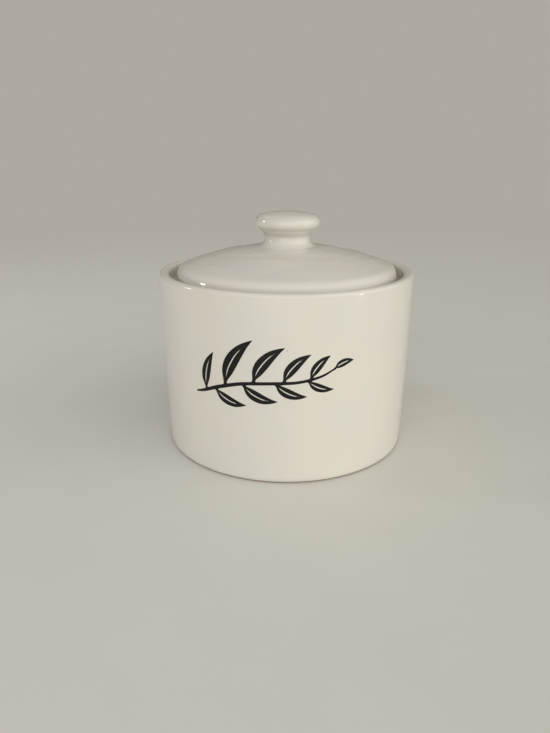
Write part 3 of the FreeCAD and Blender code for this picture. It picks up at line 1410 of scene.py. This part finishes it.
@dataclass
class LeafSprig:
    """A brushed leaf sprig across the jar's front, in millimetres round the side and up.

    Attributes:
        jar: The jar that it is painted on.
        cell, margin: Spacing of the grid that it is drawn on, and the grid's room round it.
        coat, thinnest: Thickness of the paint in the middle of a stroke and at its edge.
        sunk: How far the coat's closed underside lies in the glaze.
        edge_soft: Distances from the edge between which the coat gets its thickness.
        join: How far the paint fills the corners where strokes meet.
        stem, leaves: The strokes.
    """

    jar: Jar
    cell: float = 0.34
    margin: float = 5.0
    coat: float = 0.11
    thinnest: float = 0.01
    sunk: float = 0.16
    edge_soft: Span = (-0.02, 0.30)
    join: float = 0.9
    stem: BrushStroke = BrushStroke(
        (
            (-56.2, 50.2, 0.45), (-50.5, 51.9, 0.90), (-40.0, 56.0, 1.10), (-26.0, 59.8, 1.00),
            (-10.0, 61.2, 0.95), (5.0, 62.0, 0.85), (17.0, 64.6, 0.70), (25.0, 68.4, 0.50),
        )
    )
    leaves: tuple[Leaf, ...] = (
        Leaf((-48.5, 52.8), 88.0, 23.5, 3.0, -24.0),
        Leaf((-36.0, 57.3), 73.0, 32.0, 3.9, -28.0),
        Leaf((-42.5, 55.1), -37.0, 20.5, 2.8, 30.0),
        Leaf((-19.5, 60.6), 64.0, 27.0, 3.5, -28.0),
        Leaf((-25.5, 59.9), -41.0, 21.5, 3.0, 32.0),
        Leaf((-3.0, 61.6), 60.0, 21.5, 3.0, -26.0),
        Leaf((-7.5, 61.4), -39.0, 19.0, 2.7, 30.0),
        Leaf((11.5, 63.2), 62.0, 17.0, 2.5, -24.0),
        Leaf((10.0, 62.9), -36.0, 16.0, 2.3, 28.0),
        Leaf((24.8, 68.3), 30.0, 12.2, 2.1, -24.0),
    )

    def _ink(self, across: np.ndarray, up: np.ndarray) -> np.ndarray:
        """Measure how far points are from the edge of the paint.

        Args:
            across: The points' places round the side.
            up: Their heights.

        Returns:
            The distances, negative where there is paint.
        """
        ink = self.stem.distance(across, up)
        for leaf in self.leaves:
            other = leaf.blade().distance(across, up)
            blend = np.clip(0.5 + 0.5 * (other - ink) / self.join, 0.0, 1.0)
            ink = other + (ink - other) * blend - self.join * blend * (1.0 - blend)
        for leaf in self.leaves:
            ink = np.maximum(ink, -leaf.gap().distance(across, up))
        return ink

    def _grid(self) -> tuple[np.ndarray, np.ndarray, np.ndarray]:
        """Lay a grid over the whole sprig.

        Returns:
            The places round the side, the heights, and the distances from the paint's edge.
        """
        strokes = (self.stem, *(leaf.blade() for leaf in self.leaves))
        marks = np.vstack([stroke.trail() for stroke in strokes])[:, :2]
        low, high = marks.min(0) - self.margin, marks.max(0) + self.margin
        lines = (np.arange(low[k], high[k], self.cell) for k in range(2))
        across, up = np.meshgrid(*lines, indexing="ij")
        return across, up, self._ink(across, up)

    def _trace(self) -> tuple[np.ndarray, list[list[int]]]:
        """Cut the grid's cells along the paint's edge.

        Returns:
            The corners, as place round the side, place up and distance from the edge, and the
            painted cells as corner numbers, anticlockwise.
        """
        across, up, ink = self._grid()
        corners: list[tuple[float, float, float]] = []
        known: dict[tuple[int, int, int, int], int] = {}

        def number(one: tuple[int, int], other: tuple[int, int]) -> int:
            """Find the corner between two neighbouring grid places, or on one of them.

            Args:
                one: A grid place.
                other: Its neighbour, or the same place again.

            Returns:
                The corner's number.
            """
            key = (*min(one, other), *max(one, other))
            if key not in known:
                share = 0.0 if one == other else ink[one] / (ink[one] - ink[other])
                ends = ((table[one], table[other]) for table in (across, up, ink))
                corners.append(tuple(float(a + share * (b - a)) for a, b in ends))
                known[key] = len(corners) - 1
            return known[key]

        cells = []
        painted = ink < 0.0
        busy = painted[:-1, :-1] | painted[1:, :-1] | painted[1:, 1:] | painted[:-1, 1:]
        for i, k in np.argwhere(busy).tolist():
            places = [(i, k), (i + 1, k), (i + 1, k + 1), (i, k + 1)]
            cell: list[int] = []
            for one, other in zip(places, places[1:] + places[:1]):
                if painted[one]:
                    cell.append(number(one, one))
                if painted[one] != painted[other]:
                    cell.append(number(one, other) if one < other else number(other, one))
            if len(cell) > 2:
                cells.append(cell)
        return np.array(corners), cells

    def build(self) -> None:
        """Lay the sprig on the jar as a thin closed coat with soft edges."""
        corners, cells = self._trace()
        angle = corners[:, 0] * MM / self.jar.rim
        height = corners[:, 1] * MM
        reach = self.jar.side(angle, height)
        thick = self.coat * np.sqrt(smooth(-corners[:, 2], *self.edge_soft)) + self.thinnest
        layers = [
            around_axis(out, height, angle) for out in (reach + thick * MM, reach - self.sunk * MM)
        ]
        count = len(corners)
        faces = [tuple(cell) for cell in cells]
        faces += [tuple(count + k for k in reversed(cell)) for cell in cells]
        sides = dict.fromkeys(pair for cell in cells for pair in zip(cell, cell[1:] + cell[:1]))
        for one, other in sides:
            if (other, one) not in sides:
                faces.append((other, one, count + one, count + other))
        sprig = add_mesh("leaf_sprig", np.vstack(layers).tolist(), faces)
        dress(sprig, BlackEnamel().material())


# ---------------------------------------------------------------- the studio


def towards(azimuth: float, elevation: float) -> Triple:
    """A direction from the canister, in degrees round from its front and up."""
    turn, tilt = math.radians(azimuth), math.radians(elevation)
    return math.sin(turn) * math.cos(tilt), -math.cos(turn) * math.cos(tilt), math.sin(tilt)


@dataclass(frozen=True)
class Lamp:
    """A flat soft lamp that faces the canister.

    Attributes:
        name: The lamp's name.
        azimuth, elevation: Where it hangs, in degrees round from the front and up.
        distance: How far it is from the canister's middle.
        width, height: Its size.
        brightness: The light it sends out, where a white sheet in full light is 1.
    """

    name: str
    azimuth: float
    elevation: float
    distance: float
    width: float
    height: float
    brightness: float

    def build(self, target: Vector) -> None:
        """Hang the lamp.

        Args:
            target: The canister's middle.
        """
        data = bpy.data.lights.new(self.name, "AREA")
        data.shape = "RECTANGLE"
        data.size, data.size_y = self.width, self.height
        data.energy = self.brightness * math.pi * self.width * self.height
        away = Vector(towards(self.azimuth, self.elevation))
        lamp = bpy.data.objects.new(self.name, data)
        lamp.location = target + away * self.distance
        lamp.rotation_mode = "QUATERNION"
        lamp.rotation_quaternion = away.to_track_quat("Z", "Y")
        lamp.visible_camera = False
        bpy.context.scene.collection.objects.link(lamp)


@dataclass(frozen=True)
class Glow:
    """A broad soft brightness in one direction of the room round the canister.

    Attributes:
        azimuth, elevation: Its direction, in degrees round from the front and up.
        focus: How narrow it is.
        colour: Its brightness and colour in the middle.
    """

    azimuth: float
    elevation: float
    focus: float
    colour: Colour

    def add_to(self, bench: Bench, way: Wire, light: Wire | Colour) -> Wire:
        """Add the glow to the room's light.

        Args:
            bench: The world's bench.
            way: The direction that light comes from.
            light: The light so far.

        Returns:
            The light with the glow.
        """
        aim = towards(self.azimuth, self.elevation)
        made = bench.node("ShaderNodeVectorMath", {"operation": "DOT_PRODUCT"}, {0: way, 1: aim})
        share = bench.wire(made, "Value").most(0.0) ** self.focus
        return bench.mix(share, light, self.colour, Blend.ADD)


@dataclass(frozen=True)
class Studio:
    """Floor, soft light and camera.

    Attributes:
        floor, floor_radius, floor_sides: The floor's finish, radius and number of sides.
        sky: The room's light from every direction.
        glows, lamps: What is brighter than that.
        camera_place, camera_turn: Where the camera stands, and how it is turned in degrees.
        lens, sensor: Focal length and sensor width in millimetres.
        clip: Nearest and farthest distance that the camera sees.
    """

    floor: PaleFloor = PaleFloor()
    floor_radius: float = 9.0
    floor_sides: int = 128
    sky: Colour = (0.03, 0.03, 0.03)
    glows: tuple[Glow, ...] = (
        Glow(0.0, 12.0, 2.0, (0.93, 0.94, 0.95)),
        Glow(72.0, 5.0, 4.0, (1.62, 1.59, 1.47)),
        Glow(-45.0, 8.0, 3.0, (0.10, 0.11, 0.14)),
        Glow(0.0, 90.0, 1.0, (0.41, 0.40, 0.37)),
        Glow(180.0, -5.0, 3.0, (0.21, 0.19, 0.15)),
    )
    lamps: tuple[Lamp, ...] = (
        Lamp("soft_front", -10.0, 1.5, 0.62, 0.50, 0.10, 2.75),
        Lamp("left_glint", -95.0, 18.0, 1.10, 0.15, 0.14, 21.0),
        Lamp("right_glint", 63.0, -1.0, 1.00, 0.05, 0.05, 60.0),
    )
    camera_place: Spot = (-0.009387, -0.364799, 0.173384)
    camera_turn: Triple = (70.366, 0.0, -0.388)
    lens: float = 28.48
    sensor: float = 36.0
    clip: Span = (0.01, 50.0)

    def _build_floor(self) -> None:
        """A wide disc under the canister."""
        turns = [math.tau * k / self.floor_sides for k in range(self.floor_sides)]
        reach = self.floor_radius
        corners = [(reach * math.cos(turn), reach * math.sin(turn), 0.0) for turn in turns]
        floor = add_mesh("floor", corners, [tuple(range(self.floor_sides))])
        floor.data.materials.append(self.floor.material())

    def _build_world(self) -> None:
        """Soft light from all round, brighter at the glows, behind an even backdrop."""
        world = bpy.data.worlds.new("soft_room")
        world.use_nodes = True
        bpy.context.scene.world = world
        bench = Bench(world.node_tree)
        way = bench.wire(bench.node("ShaderNodeTexCoord"), "Generated")
        room: Wire | Colour = self.sky
        for glow in self.glows:
            room = glow.add_to(bench, way, room)
        seen = bench.wire(bench.node("ShaderNodeLightPath"), "Is Camera Ray")
        colour = bench.mix(seen, room, self.floor.far)
        light = bench.node("ShaderNodeBackground", None, {"Color": colour, "Strength": 1.0})
        bench.node("ShaderNodeOutputWorld", None, {"Surface": bench.wire(light, "Background")})

    def _build_camera(self) -> None:
        """The camera, a little above the canister and in front of it."""
        data = bpy.data.cameras.new("camera")
        data.sensor_width = self.sensor
        data.lens = self.lens
        data.clip_start, data.clip_end = self.clip
        camera = bpy.data.objects.new("camera", data)
        camera.location = self.camera_place
        camera.rotation_euler = [math.radians(turn) for turn in self.camera_turn]
        bpy.context.scene.collection.objects.link(camera)
        bpy.context.scene.camera = camera

    def build(self) -> None:
        """Set up everything that isn't part of the canister."""
        low, high = CAD_BOX
        target = (low + high) / 2.0
        self._build_floor()
        self._build_world()
        for lamp in self.lamps:
            lamp.build(target)
        self._build_camera()
        bpy.context.scene.view_settings.view_transform = "Standard"


def main() -> None:
    """Build the jar, the lid, the sprig and the studio, in that order."""
    logging.basicConfig(level=logging.INFO, format="%(name)s: %(message)s")
    jar = Jar()
    jar.build()
    Lid().build()
    LeafSprig(jar).build()
    Studio().build()


if __name__ == "__main__":
    main()
